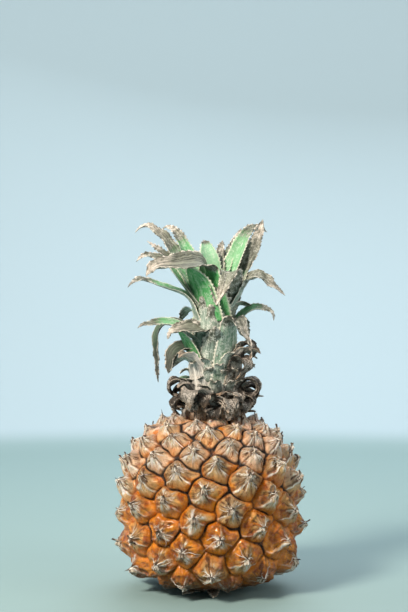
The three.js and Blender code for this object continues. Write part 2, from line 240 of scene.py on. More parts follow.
MIDDLE_OF_FRUIT = (0, 0, 90)
add_light("window", (-520, -560, 760), MIDDLE_OF_FRUIT, 240, 17.2, "#fff1de")
add_light("right_wall", (800, -440, 500), MIDDLE_OF_FRUIT, 520, 3.4, "#fff4e8")
add_light("back_glow", (120, 620, 700), (0, 0, 110), 600, 4, "#f4faff")
add_light("wall_glow", (0, 250, 900), (0, 1000, 350), 900, 5.6, "#f4faff")

# %% Daylight all round
SKY_COLOUR, SKY_STRENGTH = "#e6f0f5", 0.18

world = bpy.data.worlds.new("daylight")
world.use_nodes = True
sky = next(n for n in world.node_tree.nodes if n.type == "BACKGROUND")
sky.inputs["Color"].default_value = colour(SKY_COLOUR)
sky.inputs["Strength"].default_value = SKY_STRENGTH
bpy.context.scene.world = world
bpy.context.scene.view_settings.view_transform = "Standard"

# %% [markdown]
# The spiral of eyes
#
# Each eye takes a share of the fruit's surface, counted down from the top, and stands a golden angle
# round from the one before. That alone gives the 8 and 13 rows that wind round a pineapple. A real fruit
# leans and swells unevenly, so gentle waves squeeze the spiral on one side. The body is a superellipsoid:
# a ball with a squarer shoulder and foot.

# %% The spiral
GOLDEN_ANGLE = 137.508
CENTRE_Z = 43
BELLY_RADIUS = 42
TOP_HALF_HEIGHT, BASE_HALF_HEIGHT = 44.5, 39
TOP_SQUARENESS, BASE_SQUARENESS = 2.7, 3.6
UNDERSIDE_Z = 1.5

EYES = 98
FIRST_EYE_COS, LAST_EYE_COS = 0.955, -0.97
TOP_EYE_SHARE, BELLY_EYE_SHARE = 0.0118, 0.0245
SHARE_GROWS_FROM, SHARE_GROWS_OVER = 20, 36
FRONT_EYE, FRONT_EYE_AZIMUTH = 48, -3.1
SPIRAL_SQUEEZE, SQUEEZE_SIDE = 10.1, -5.8
SPIRAL_DRIFT, DRIFT_SWING, DRIFT_SIDE = 0.45, 0.39, 38
DRIFT_FROM_EYE, DRIFT_TO_EYE = -26, 34
SWING_FLOOR = -0.3


def smooth(t):
    t = np.clip(t, 0, 1)
    return t * t * (3 - 2 * t)


def draw(n):
    """A repeatable draw from 0 to 1 for the nth small variation."""
    x = math.sin(n * 127.1 + 311.7) * 43758.5453
    return x - math.floor(x)


def draws(numbers):
    return np.array([draw(n) for n in numbers])


def spiral():
    """The cosine of the polar angle, the azimuth in degrees and the half size of every eye."""
    steps = np.arange(EYES) - FRONT_EYE
    growth = smooth((np.arange(EYES) - SHARE_GROWS_FROM) / SHARE_GROWS_OVER)
    share = TOP_EYE_SHARE + (BELLY_EYE_SHARE - TOP_EYE_SHARE) * growth
    cosine = np.maximum(LAST_EYE_COS, FIRST_EYE_COS - np.concatenate([[0], np.cumsum(share)[:-1]]))
    turn = (steps * GOLDEN_ANGLE + 180) % 360 - 180
    squeeze = np.sin(np.radians(turn - SQUEEZE_SIDE)) + math.sin(math.radians(SQUEEZE_SIDE))
    swing = np.maximum(SWING_FLOOR, np.cos(np.radians(turn - DRIFT_SIDE)))
    drifting = np.clip(steps, DRIFT_FROM_EYE, DRIFT_TO_EYE)
    azimuth = FRONT_EYE_AZIMUTH + turn - SPIRAL_SQUEEZE * squeeze
    azimuth += drifting * (SPIRAL_DRIFT - DRIFT_SWING * swing)
    ends = np.array([1.0, -1.0])
    share = np.concatenate([share, [TOP_EYE_SHARE, BELLY_EYE_SHARE]])
    half_size = 0.5 * np.sqrt(2 * math.pi * share)
    return np.concatenate([cosine, ends]), np.concatenate([azimuth, [0, 0]]), half_size


eye_cosine, eye_azimuth, eye_half = spiral()
eye_sine = np.sqrt(1 - eye_cosine ** 2)
sin_a, cos_a = np.sin(np.radians(eye_azimuth)), np.cos(np.radians(eye_azimuth))
eye_out = np.stack([eye_sine * sin_a, -eye_sine * cos_a, eye_cosine], 1)
eye_across = np.stack([cos_a, sin_a, 0 * cos_a], 1)
eye_up = np.cross(eye_out, eye_across)
eye_spacing = np.linalg.norm(eye_out[:, None] - eye_out[None], axis=2) + np.eye(len(eye_out))
print("Eyes across the belly, in mm:", round(2 * BELLY_RADIUS * eye_half[FRONT_EYE], 1))


# %% [markdown]
# From spiral to relief
#
# A point belongs to the nearest eye, and where two are equally near there is a groove. Plain distance
# gives hexagons. A pineapple's eyes are shields, round on top and pointed below, so we measure sideways
# distance longer below a centre and shorter above it. Each eye then arches over the points of the two
# above it, like scales.

# %% Distances in the rind
SHIELD, SHIELD_REACH = 0.42, 1.5
CORNER_ROUNDING = 0.5
BORDER_WANDER, WANDER_PITCH, WANDER_SEEDS = 0.034, 7, (11, 23, 37)


def noise_at(places, seed=0.0):
    """Smooth noise from -1 to 1 at many places."""
    offset = Vector((seed, 2 * seed, -seed))
    return np.array([noise.noise(Vector(p) + offset) for p in places.tolist()])


def groove_reach(u):
    """Distance from the fruit's centre to the bottom of the grooves, along unit vectors."""
    upper = u[:, 2] > 0
    half = np.where(upper, TOP_HALF_HEIGHT, BASE_HALF_HEIGHT)
    power = np.where(upper, TOP_SQUARENESS, BASE_SQUARENESS)
    flat = np.hypot(u[:, 0], u[:, 1]) / BELLY_RADIUS
    return (flat ** power + (np.abs(u[:, 2]) / half) ** power) ** (-1 / power)


def locate(u):
    """The eye of each unit vector, its next eye, the distance to their groove, and its place."""
    u = u + BORDER_WANDER * np.stack([noise_at(u * WANDER_PITCH, seed) for seed in WANDER_SEEDS], 1)
    x = u @ eye_across.T
    y = u @ eye_up.T
    lean = np.exp(-SHIELD * np.clip(y / eye_half, -SHIELD_REACH, SHIELD_REACH))
    squared = 2 - 2 * u @ eye_out.T + x * x * (lean * lean - 1)
    rows = np.arange(len(u))
    nearest = np.argmin(squared, 1)
    ahead = (squared - squared[rows, nearest][:, None]) / (2 * eye_spacing[nearest])
    ahead[rows, nearest] = np.inf
    ahead *= groove_reach(u)[:, None]
    following = np.argmin(ahead, 1)
    crowding = np.exp(-ahead / CORNER_ROUNDING).sum(1)
    rounded = np.maximum(0, -CORNER_ROUNDING * np.log(crowding))
    place = np.stack([x[rows, nearest], y[rows, nearest]], 1) / eye_half[nearest][:, None]
    return nearest, following, ahead[rows, following], rounded, place


# %% [markdown]
# A mesh for the rind
#
# A ball made of six square grids has nearly equal faces and no poles, so relief looks alike all round.
# A grid that ignores the grooves leaves a saw edge along each, so the points nearest to a groove slide
# onto it first.

# %% The ball of grids
GRID = 128
SNAP_SHARE = 0.48


def ball(steps):
    """Unit vectors and four-cornered faces of a cube swollen into a ball."""
    ticks = np.tan(np.linspace(-1, 1, steps + 1) * math.pi / 4)
    a, b = (g.ravel() for g in np.meshgrid(ticks, ticks, indexing="ij"))
    one = np.ones_like(a)
    sides = [(one, a, b), (-one, b, a), (b, one, a), (a, -one, b), (a, b, one), (b, a, -one)]
    points = np.concatenate([np.stack(s, 1) for s in sides])
    points /= np.linalg.norm(points, axis=1)[:, None]
    i, j = (g.ravel() for g in np.meshgrid(range(steps), range(steps), indexing="ij"))
    corner = i * (steps + 1) + j
    quad = np.stack([corner, corner + steps + 1, corner + steps + 2, corner + 1], 1)
    faces = np.concatenate([quad + side * (steps + 1) ** 2 for side in range(6)])
    _, first, shared = np.unique(points.round(6), axis=0, return_index=True, return_inverse=True)
    return points[first], shared.reshape(-1)[faces]


rind_u, rind_faces = ball(GRID)
rind_edge = math.pi / 2 * BELLY_RADIUS / GRID
nearest, following, margin, _, _ = locate(rind_u)
on_groove = margin < SNAP_SHARE * rind_edge
away = eye_out[following] - eye_out[nearest]
away /= np.linalg.norm(away, axis=1)[:, None]
shift = (margin / groove_reach(rind_u))[:, None] * away
rind_u = np.where(on_groove[:, None], rind_u + shift, rind_u)
rind_u /= np.linalg.norm(rind_u, axis=1)[:, None]
print("Rind edges are about", round(rind_edge, 2), "mm;", int(on_groove.sum()), "points lie on grooves")

# %% [markdown]
# The relief of one eye
#
# From the side an eye is a low cushion with steep walls that rises to a peak above its middle. Dried
# skin wrinkles towards the peak, where the bract is fixed and the flesh has shrunk. Above it the sepals
# leave folds that follow the arch. Each eye draws its own height, peak and wrinkles.

# %% Relief
DOME_HEIGHT, DOME_SHOULDER = 4.0, 7.6
CONE_HEIGHT, CONE_POWER = 1.7, 1.15
KEEL_HEIGHT, KEEL_HALF_WIDTH, KEEL_FADE = 0.9, 0.13, 0.2
PEAK_HEIGHT, PEAK_REACH, PEAK_POWER, PEAK_ABOVE_CENTRE = 1.9, 0.32, 1.4, 0.27
WRINKLE_HEIGHT, WRINKLES_ROUND, WRINKLES_OUT, WRINKLE_WIDTH = 1.6, 2.2, 0.9, 0.8
FOLD_HEIGHT, FOLD_PITCH, FOLD_TILT, FOLD_SHARE = 0.5, 2.2, 1.5, 0.4
LUMP_HEIGHT, LUMPS_ACROSS = 1.3, 1.5
BRACT_THICKNESS, BRACT_EDGE, BRACT_TAPER = 1.5, 0.16, 0.75
LIP_HEIGHT, LIP_WIDTH, LIP_FADE = 0.6, 0.09, 0.25
LOWER_FADE, PEAK_CLEAR = 0.3, 0.2
SMALL_EYE = 0.17
UNDERSIDE_RELIEF, UNDERSIDE_FROM_COS, UNDERSIDE_FADE = 0.4, -0.6, 0.25
PEAK_WANDER = 0.3
DROOP_SIDE, DROOP_SLOPE, EDGE_WAVER, EDGE_WAVES = 0.22, 0.2, 0.06, 4

eye_number = np.arange(len(eye_out))
eye_peak = PEAK_WANDER * (np.stack([draws(eye_number), draws(eye_number + 500)], 1) - 0.5)
eye_peak[:, 1] += PEAK_ABOVE_CENTRE
eye_vigour = 0.82 + 0.3 * draws(eye_number + 900)
eye_droop = 0.28 + 0.26 * draws(eye_number + 1100)


def bract_edge(eye, away):
    """How far a place is below the bract's free edge, which falls away from the peak on both sides."""
    sideways = np.abs(away[:, 0])
    fall = eye_droop[eye] * (1 - np.exp(-sideways / DROOP_SIDE)) + DROOP_SLOPE * sideways
    waves = np.stack([away[:, 0] * EDGE_WAVES, away[:, 1] * EDGE_WAVES, eye * 5.3], 1)
    return -away[:, 1] - fall + EDGE_WAVER * noise_at(waves, 3.0)


def relief(eye, border, place):
    """Height above the groove in mm, the place from the peak and below the bract's edge, and folds."""
    away = place - eye_peak[eye]
    far = np.hypot(away[:, 0], away[:, 1])
    wall = np.sqrt(1 - (1 - np.minimum(1, border / DOME_SHOULDER)) ** 2)
    round_it = away / np.maximum(far, 1e-6)[:, None]
    wind = np.stack([round_it[:, 0] * WRINKLES_ROUND, round_it[:, 1] * WRINKLES_ROUND,
                     eye * 7.31 + far * WRINKLES_OUT], 1)
    ridges = 1 - 2 * np.abs(noise_at(wind)) ** WRINKLE_WIDTH
    below = bract_edge(eye, away)
    lower = smooth(below / LOWER_FADE)
    ridges *= (0.5 + 0.5 * lower) * smooth(far / PEAK_CLEAR) * wall ** 2
    arcs = np.sin(border * FOLD_PITCH + eye * 1.7 + away[:, 0] * FOLD_TILT) * (1 - lower)
    spot = np.stack([place[:, 0] * LUMPS_ACROSS, place[:, 1] * LUMPS_ACROSS, eye * 3.7], 1)
    keel = np.exp(-(away[:, 0] / KEEL_HALF_WIDTH) ** 2) * smooth(-away[:, 1] / KEEL_FADE)
    flap = smooth(0.5 + below / BRACT_EDGE)
    height = DOME_HEIGHT * wall * eye_vigour[eye]
    height += CONE_HEIGHT * wall * np.maximum(0, 1 - far) ** CONE_POWER
    height += KEEL_HEIGHT * wall * keel
    height += PEAK_HEIGHT * np.maximum(0, 1 - far / PEAK_REACH) ** PEAK_POWER
    height += WRINKLE_HEIGHT * ridges + FOLD_HEIGHT * arcs * wall
    height += LUMP_HEIGHT * noise_at(spot, 5.0) * wall
    height += BRACT_THICKNESS * flap * wall * np.maximum(0.1, 1 - BRACT_TAPER * far)
    height += LIP_HEIGHT * np.exp(-(below / LIP_WIDTH) ** 2) * wall * smooth(far / LIP_FADE)
    folds = ridges + FOLD_SHARE * arcs * wall
    return height * np.minimum(1, eye_half[eye] / SMALL_EYE), away, below, folds


def on_rind(u):
    """Points on the rind along unit vectors, in mm, with the eye, groove distance and place of each."""
    eye, _, _, border, place = locate(u)
    height, away, below, folds = relief(eye, border, place)
    pressed = 1 - (1 - UNDERSIDE_RELIEF) * smooth((UNDERSIDE_FROM_COS - u[:, 2]) / UNDERSIDE_FADE)
    height = np.where(eye >= EYES, 0.0, height * pressed)
    points = u * (groove_reach(u) + height)[:, None]
    points[:, 2] = np.maximum(UNDERSIDE_Z, points[:, 2] + CENTRE_Z)
    return points, eye, border, np.stack([away[:, 0], away[:, 1], below], 1), folds


rind_points, rind_eye, rind_border, rind_away, rind_folds = on_rind(rind_u)
print("Rind from", rind_points.min(0).round(1), "to", rind_points.max(0).round(1), "mm")

# %% [markdown]
# The skin's colours
#
# Ripe skin is amber and a little waxy. The bract over the lower part of an eye is dead paper, beige to
# grey, with white fibres that fan out from the peak. Eyes near the crown are papery all over, and those
# lower down show more orange. Grooves turn a deep orange, and in some stretches painted shade makes
# them nearly black. The mesh carries each point's place in its eye, from which the nodes work out an
# angle round the peak and a distance.

# %% Palette of the skin
AMBER, RUST = ("#9c4b03", "#e6921e"), "#6d330d"
GOLDEN, GOLDEN_FOLD = ("#a96413", "#e6a84f"), "#8a4d12"
DUSTY, DUSTY_FOLD, SHOULDER = ("#78572f", "#c8a478"), "#4c331f", "#e2b48a"
CREAM, PAPER_SHADE, PAPER_BLOTCH = ("#ebc58d", "#f8e0c8"), "#6f4224", "#b07f4e"
FILM, WHITE_FIBRE = "#e3d3bf", "#fff9f1"
CREASE_SHADE, EDGE_SHADE, GRAIN, PIT = "#2f1a0f", "#3c2313", "#5f371b", "#2c180e"
GLOW, FOOT_SHADE, GAP_AMBER_AND_SHADE = "#d67c0e", "#43250f", ("#a3580c", "#190b05")


# %% What the nodes know about a point
def fan_coordinates(n, f):
    """The distance from the peak, streaks that fan out from it, and how strong they are each way."""
    far = (f.x * f.x + f.y * f.y).root().most(0.001)
    across, up = f.x / far, f.y / far
    depth = f.seed * 40.0 + far * 1.3 + f.blotches * 2.2
    streaks = n.join(across * 2.8, up * 2.8, depth).noise(1.0, 5.0, 0.72)
    petals = n.join(across, up, f.seed * 70.0).noise(1.2, 1.0)
    return far, streaks, petals


def eye_fields(n):
    """A point's place in its eye, how papery the eye is, and the noises that all steps share."""
    f = SimpleNamespace(groove=n.read("groove"), paper=n.read("paper"), seed=n.read("eye_seed"))
    f.x, f.y, f.below = n.read_three("from_peak")
    f.place = n.position()
    f.blotches, f.grain = f.place.noise(240.0, 4.0, 0.6), f.place.noise(1500.0, 3.0, 0.6)
    f.far, streaks, petals = fan_coordinates(n, f)
    f.lines = (streaks - 0.5) * 6.5 + n.read("folds") * 0.5
    f.own = (petals - 0.5) * 1.7
    f.waver = (f.blotches - 0.5) * 1.4
    f.in_bract = (f.below + f.own * 0.2).band(-0.12, 0.12)
    reach = f.paper * 1.35 + f.in_bract * 0.3 + (f.waver + f.own) + 0.1
    f.cover = (reach - f.far * 0.9).band(-0.1, 0.35)
    f.close = f.in_bract * 0.3 + f.paper * 0.25 + f.own + 0.34 - f.far
    f.dryness = f.paper.band(0.1, 0.6, 0.3, 1.0)
    return f

# %% Skin and paper
def bare_skin(n, f):
    """Skin beside the bract: golden low on the fruit, dusty higher up, with arcs along its folds."""
    arcs = n.join(f.below * 12.0, f.x * 1.6, f.seed * 23.0).noise(1.0, 4.0, 0.6)
    golden = f.blotches.band(0.35, 0.7).mix(*GOLDEN)
    golden = arcs.band(0.45, 0.35, 0.0, 0.6).mix(golden, GOLDEN_FOLD)
    dusty = f.blotches.band(0.35, 0.7).mix(*DUSTY)
    dusty = arcs.band(0.38, 0.62).mix(DUSTY_FOLD, dusty)
    bare = f.paper.band(0.4, 0.75).mix(golden, dusty)
    return f.paper.band(0.85, 1.0, 0.0, 0.75).mix(bare, SHOULDER)


def skin_and_paper(n, f):
    """Amber skin with the dry paper over it, which reaches as far as the eye is papery."""
    amber = f.blotches.band(0.35, 0.68).mix(*AMBER)
    amber = f.lines.band(0.0, -0.7, 0.0, 0.75).mix(amber, RUST)
    papery = f.lines.band(-0.7, 0.15).mix(PAPER_SHADE, f.paper.band(0.7, 1.0).mix(*CREAM))
    papery = f.blotches.band(0.52, 0.72, 0.0, 0.5).mix(papery, PAPER_BLOTCH)
    papery = f.in_bract.band(0.0, 1.0, 0.45, 1.0).mix(bare_skin(n, f), papery)
    return (f.cover * 0.9).mix(amber, papery)

# %% Fibres, creases and grooves
def with_dry_lines(f, skin):
    """A grey film, white fibres and a white bract edge near the peak, then painted shade in the creases and
    beside the bract's edge, and the pit.
    """
    near = f.close.band(-0.05, 0.3)
    skin = (near * f.waver.band(-0.1, 0.3) * 0.5).mix(skin, FILM)
    edge = abs(f.below - 0.03).band(0.08, 0.02) * f.dryness * f.blotches.band(0.3, 0.5)
    fan = f.lines.band(0.15, 0.5) * near
    skin = (edge * 0.9).most(fan).mix(skin, WHITE_FIBRE)
    # Painted shade: the troughs of the streaks near the peak are darkened where shade would fall.
    crease_shade = f.lines.band(-0.4, -0.9) * f.close.band(-0.45, 0.2)
    skin = (crease_shade * 0.9).mix(skin, CREASE_SHADE)
    shade_line = abs(f.below + 0.1).band(0.09, 0.0) * f.dryness
    skin = (shade_line * 0.75).mix(skin, EDGE_SHADE)
    skin = f.grain.band(0.48, 0.75, 0.0, 0.42).mix(skin, GRAIN)
    return f.far.band(0.17, 0.06, 0.0, 0.85).mix(skin, PIT)


def with_grooves(f, skin):
    """An orange glow on the walls and a gap between the eyes, amber in some stretches and painted dark shade
    in others.
    """
    shadowy = (f.place.noise(90.0, 2.0) + (f.paper - 0.6) * 0.26).band(0.41, 0.54)
    orange = (1.0 - f.paper * 0.65).most((1.0 - shadowy) * 0.85)
    glow = f.groove.band(2.0, 0.5).most(f.y.band(-0.6, -1.0)) * orange
    skin = (glow * 0.8).mix(skin, GLOW)
    foot = f.place.split()[2].band(0.018, 0.005) * f.blotches.band(0.35, 0.6, 0.35, 1.0)
    skin = (foot * 0.8).mix(skin, FOOT_SHADE)
    width = shadowy.band(0.0, 1.0, 0.3, 0.95)
    # Painted shade: in the shadowy stretches the gap turns near black and wider; elsewhere it stays amber.
    return (f.groove / width).band(1.0, 0.2).mix(skin, shadowy.mix(*GAP_AMBER_AND_SHADE))

# %% Rind material
def rind_material():
    n = Nodes("pineapple_rind")
    f = eye_fields(n)
    wrinkles = (f.lines * f.close.band(-0.6, 0.2, 0.35, 1.0)).bump(0.75)
    return n.done(
        base_color=with_grooves(f, with_dry_lines(f, skin_and_paper(n, f))),
        roughness=f.cover * 0.14 + f.grain.band(0.3, 0.7, 0.22, 0.38),
        subsurface_weight=0.08,
        subsurface_radius=(0.004, 0.0015, 0.0005),
        subsurface_scale=0.5,
        coat_weight=f.cover.band(0.0, 1.0, 0.35, 0.05),
        coat_roughness=0.16,
        normal=f.grain.bump(0.2, 0.5, wrinkles))

# %% Rind piece
PAPER_FOOT, PAPER_TOP, PAPER_SPREAD = 0.1, 1.0, 0.55
PAPER_FROM_Z, PAPER_OVER_Z = 22, 62

height_share = smooth((rind_points[:, 2] - PAPER_FROM_Z) / PAPER_OVER_Z)
eye_paper = draws(eye_number + 1300) - 0.5
paper = PAPER_FOOT + (PAPER_TOP - PAPER_FOOT) * height_share + PAPER_SPREAD * eye_paper[rind_eye]
rind = add_mesh("rind", rind_points, rind_faces, rind_material(), {
    "from_peak": rind_away,
    "eye_seed": draws(eye_number + 1700)[rind_eye],
    "groove": rind_border,
    "folds": rind_folds,
    "paper": np.clip(paper, 0, 1),
})
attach(rind, "root")
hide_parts("fruit")

# %% [markdown]
# The tips of the bracts
#
# Each bract ends in a dry, pointed flap that has come away from the eye and curls outwards. The flaps
# prick the hand and break up the outline. Each is a thin two-sided strip that starts flat on the rind
# below the peak, follows it up, and leaves it with a curl of its own.

# %% Bract tips
FLAP_ROWS, FLAP_COLUMNS = 13, 7
FLAP_START, FLAP_HALF_WIDTH, FLAP_LIES_UNTIL = 0.3, 0.2, 0.6
FLAP_LENGTH, FLAP_SPREAD, FLAP_FREE_FROM = 1.0, 1.9, 0.5
FLAP_LIFT, FLAP_CURL = 0.12, 0.5
FLAP_RISE, FLAP_RISE_SPREAD, FLAP_NOD = 35, 50, 0.4
FLAP_THICKNESS = 0.2
LAST_FLAP_COS = -0.74


def closed_strip(upper, lower):
    """Points and faces of a thin body between two equal grids of points, rows by columns."""
    rows, columns, _ = upper.shape
    points = np.concatenate([upper.reshape(-1, 3), lower.reshape(-1, 3)])
    half = rows * columns
    faces = []
    for r in range(rows - 1):
        for c in range(columns - 1):
            a, b = r * columns + c, (r + 1) * columns + c
            faces += [(a, a + 1, b + 1, b), (half + a, half + b, half + b + 1, half + a + 1)]
    rim = [r * columns for r in range(rows)] + [(rows - 1) * columns + c for c in range(1, columns)]
    rim += [r * columns + columns - 1 for r in range(rows - 2, -1, -1)] + list(range(columns - 2, 0, -1))
    faces += [(a, b, half + b, half + a) for a, b in zip(rim, rim[1:] + rim[:1])]
    return points, faces


def joined(parts):
    """One list of points and faces from several, with the faces renumbered to match."""
    points, faces, start = [], [], 0
    for part_points, part_faces in parts:
        points.append(part_points)
        faces += [tuple(start + v for v in face) for face in part_faces]
        start += len(part_points)
    return np.concatenate(points), faces


def bract_flap(i):
    """One flap, as a grid of points above the rind and one just below it."""
    s, t = np.meshgrid(np.linspace(0, 1, FLAP_ROWS), np.linspace(-1, 1, FLAP_COLUMNS), indexing="ij")
    s, t = s.ravel(), t.ravel()
    ragged = 1 + 0.3 * noise_at(np.stack([s * 5, t * 2, 0 * s + i * 4.1], 1))
    width = FLAP_HALF_WIDTH * (1 - s ** 1.7) * ragged * (0.75 + 0.6 * draw(i + 2100))
    x = eye_peak[i, 0] + t * width
    y = eye_peak[i, 1] - FLAP_START * (1 - np.minimum(1, s / FLAP_LIES_UNTIL))
    u = eye_out[i] + (x * eye_half[i])[:, None] * eye_across[i] + (y * eye_half[i])[:, None] * eye_up[i]
    points, *_ = on_rind(u / np.linalg.norm(u, axis=1)[:, None])
    length = FLAP_LENGTH + FLAP_SPREAD * draw(i + 2300) ** 1.5
    loose = np.clip((s - FLAP_FREE_FROM) / (1 - FLAP_FREE_FROM), 0, 1)
    free = length * loose ** 1.3
    swing = math.radians(FLAP_RISE + FLAP_RISE_SPREAD * draw(i + 2500)) - FLAP_NOD * loose
    aside = (draw(i + 2700) - 0.5) * 1.3
    lean = np.cos(swing)[:, None] * (eye_up[i] + aside * eye_across[i]) + np.sin(swing)[:, None] * eye_out[i]
    curl = FLAP_LIFT + FLAP_CURL * (1 - s) * s + FLAP_CURL * t * t * np.minimum(1, 3 * s)
    points = points + free[:, None] * lean + curl[:, None] * eye_out[i]
    upper = points.reshape(FLAP_ROWS, FLAP_COLUMNS, 3)
    return closed_strip(upper, upper - FLAP_THICKNESS * eye_out[i]), np.stack([t, s, 0 * s + draw(i)], 1)


# %% Bract tip material
FLAP_SHADES, FLAP_TIP, FLAP_DUST = ("#533a28", "#d2c5b4"), "#42291a", "#8d7660"


def flap_material():
    n = Nodes("dry_bract")
    across, along, seed = n.read_three("flap_place")
    lines = n.join(across * 3.2, along * 0.9, seed * 31.0).noise(1.0, 4.0, 0.6)
    fine = n.position().noise(1800.0, 2.0)
    tint = along.band(0.6, 0.9, 0.0, 0.85).mix(lines.band(0.4, 0.62).mix(*FLAP_SHADES), FLAP_TIP)
    tint = fine.band(0.5, 0.8, 0.0, 0.4).mix(tint, FLAP_DUST)
    return n.done(base_color=tint, roughness=fine.band(0.3, 0.7, 0.55, 0.8), normal=lines.bump(0.5, 0.8))


flap_eyes = [i for i in range(EYES) if eye_cosine[i] > LAST_FLAP_COS]
flaps = [bract_flap(i) for i in flap_eyes]
flap_points, flap_faces = joined([body for body, _ in flaps])
bract_tips = add_mesh("bract_tips", flap_points, flap_faces, flap_material(), {
    "flap_place": np.concatenate([np.tile(place, (2, 1)) for _, place in flaps]),
})
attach(bract_tips, "root")

# %% [markdown]
# Dry fibres round each peak
#
# What is left of the flower at each peak is a tuft of dry threads over the wrinkles. They are too fine
# for the rind's mesh, so each is a thin three-sided tube that starts at the peak, wanders over the eye
# and lifts off at its end.

# %% Fibres
FIBRES_AN_EYE, FIBRE_STATIONS = 18, 7
FIBRE_RADIUS, FIBRE_TAPER, FIBRE_SIDES = 0.23, 0.75, 3
FIBRE_REACH, FIBRE_SPREAD, FIBRE_RARE = 0.13, 0.42, 24
FIBRE_FAN, FIBRE_BEND = 150, 2.0
FIBRE_CLEAR, FIBRE_LIFT = 0.15, 1.3
FIBRE_SHADES = "#fbf6ee", "#4f3421"


def fibre_paths():
    """For each fibre the unit vectors along it, its eye, its shares of the length and its number."""
    eyes = np.repeat(flap_eyes, FIBRES_AN_EYE)
    number = np.arange(len(eyes))
    heading = np.radians(FIBRE_FAN * (2 * draws(number + 3100) - 1))
    bend = FIBRE_BEND * (2 * draws(number + 5200) - 1)
    reach = FIBRE_REACH + FIBRE_SPREAD * draws(number + 7100) ** 2 + draws(number + 7700) ** FIBRE_RARE
    s = np.linspace(0, 1, FIBRE_STATIONS)
    angle = heading[:, None] + bend[:, None] * s
    step = (reach / (FIBRE_STATIONS - 1))[:, None]
    x = eye_peak[eyes, 0][:, None] + np.cumsum(step * np.sin(angle), 1) - step * np.sin(angle[:, :1])
    y = eye_peak[eyes, 1][:, None] - np.cumsum(step * np.cos(angle), 1) + step * np.cos(angle[:, :1])
    half = eye_half[eyes][:, None, None]
    u = (eye_out[eyes][:, None] + half * x[..., None] * eye_across[eyes][:, None]
         + half * y[..., None] * eye_up[eyes][:, None])
    return u / np.linalg.norm(u, axis=2)[..., None], eyes, s, number


def fibre_bodies():
    """Each fibre's points and faces: rings of three corners along its path, with both ends closed."""
    u, eyes, s, number = fibre_paths()
    points = on_rind(u.reshape(-1, 3))[0].reshape(u.shape)
    lift = FIBRE_LIFT * draws(number + 9300)
    out = eye_out[eyes][:, None]
    points = points + (FIBRE_CLEAR + lift[:, None] * s ** 3)[..., None] * out
    side = np.cross(np.gradient(points, axis=1), out)
    side /= np.linalg.norm(side, axis=2)[..., None]
    radius = (FIBRE_RADIUS * (1 - FIBRE_TAPER * s))[None, :, None]
    turns = [2 * math.pi * c / FIBRE_SIDES for c in range(FIBRE_SIDES)]
    rings = np.stack([points + radius * (math.sin(a) * side + math.cos(a) * out) for a in turns], 2)
    last = FIBRE_STATIONS - 1
    faces = [(3 * r + c, 3 * r + (c + 1) % 3, 3 * r + 3 + (c + 1) % 3, 3 * r + 3 + c)
             for r in range(last) for c in range(3)]
    faces += [(2, 1, 0), (3 * last, 3 * last + 1, 3 * last + 2)]
    return [(ring.reshape(-1, 3), faces) for ring in rings]


def fibre_material():
    n = Nodes("dry_fibre")
    return n.done(base_color=n.read("fibre_seed").band(0.5, 0.85).mix(*FIBRE_SHADES), roughness=0.6)


fibres = fibre_bodies()
fibre_points, fibre_faces = joined(fibres)
bract_fibres = add_mesh("bract_fibres", fibre_points, fibre_faces, fibre_material(), {
    "fibre_seed": np.repeat(draws(np.arange(len(fibres)) + 400), FIBRE_SIDES * FIBRE_STATIONS),
})
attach(bract_fibres, "root")

# %% [markdown]
# Leaves from their midribs
#
# A crown leaf is a stiff channel: its midrib is a line in space, with the blade standing up on both
# sides. So each leaf is one row of numbers: where it leaves the stem, how far it leans there and at its
# tip, and where it bends. Dried leaves fold in a short stretch, and living ones arch in a long one.

# %% Midribs
CROWN_X = 1.5
STEM_PROFILE = [(88, 10.8), (96, 11), (118, 11), (138, 9.6), (148, 6.5), (153, 3)]
ROOT_DEPTH = 0.5
HOOK_FROM, HOOK_OVER = 0.8, 0.2


def stem_radius(z):
    return np.interp(z, *zip(*STEM_PROFILE))


class Leaf:
    """A leaf's root, its size in mm and its angles in degrees.

    at and over are shares of the length: where it bends, and over how much. dies says the same of drying.
    """

    def __init__(self, azimuth, z, length, width, tilt, tip_tilt, at, over,
                 sway=0, cup=42, roll=0, hook=0, fat=1.0, root=None, dry=0.0, green=0.5, dies=(0.5, 0.5)):
        self.azimuth, self.z, self.length, self.width = azimuth, z, length, width
        self.tilt, self.tip_tilt, self.at, self.over = tilt, tip_tilt, at, over
        self.sway, self.cup, self.roll, self.hook = sway, cup, roll, hook
        self.fat, self.dry, self.green, self.dies = fat, dry, green, dies
        self.root = stem_radius(z) * ROOT_DEPTH if root is None else root

    def midrib(self, s):
        """At shares s of the length: the points, the directions along, sideways and to the upper side."""
        bend = smooth((s - self.at + self.over) / (2 * self.over))
        tilt = self.tilt + (self.tip_tilt - self.tilt) * bend
        tilt = np.radians(tilt + self.hook * smooth((s - HOOK_FROM) / HOOK_OVER))
        azimuth = np.radians(self.azimuth + self.sway * s)
        flat = np.stack([np.sin(azimuth), -np.cos(azimuth), 0 * s], 1)
        along = np.sin(tilt)[:, None] * flat + np.cos(tilt)[:, None] * np.array([0, 0, 1])
        steps = np.diff(s)[:, None] * self.length * (along[1:] + along[:-1]) / 2
        root = np.array([CROWN_X, 0, self.z]) + self.root * flat[0]
        points = root + np.concatenate([np.zeros((1, 3)), np.cumsum(steps, 0)])
        level = np.stack([np.cos(azimuth), np.sin(azimuth), 0 * s], 1)
        above = np.cross(along, level)
        turn = np.radians(self.roll * s)[:, None]
        side = level * np.cos(turn) - above * np.sin(turn)
        return points, along, side, np.cross(along, side)

    def half_width(self, s):
        taper = np.clip(1 - s ** (2 * self.fat), 0, 1) ** 0.85
        return self.width / 2 * taper * (1.08 - 0.16 * s)


# %% [markdown]
# A blade with teeth
#
# The margins carry small hooked spines. Three rows of the mesh make one spine: the margin swells over
# two rows and drops back in the third. The blade between stays smooth, apart from a slow waver, and
# crumples where it is dry.

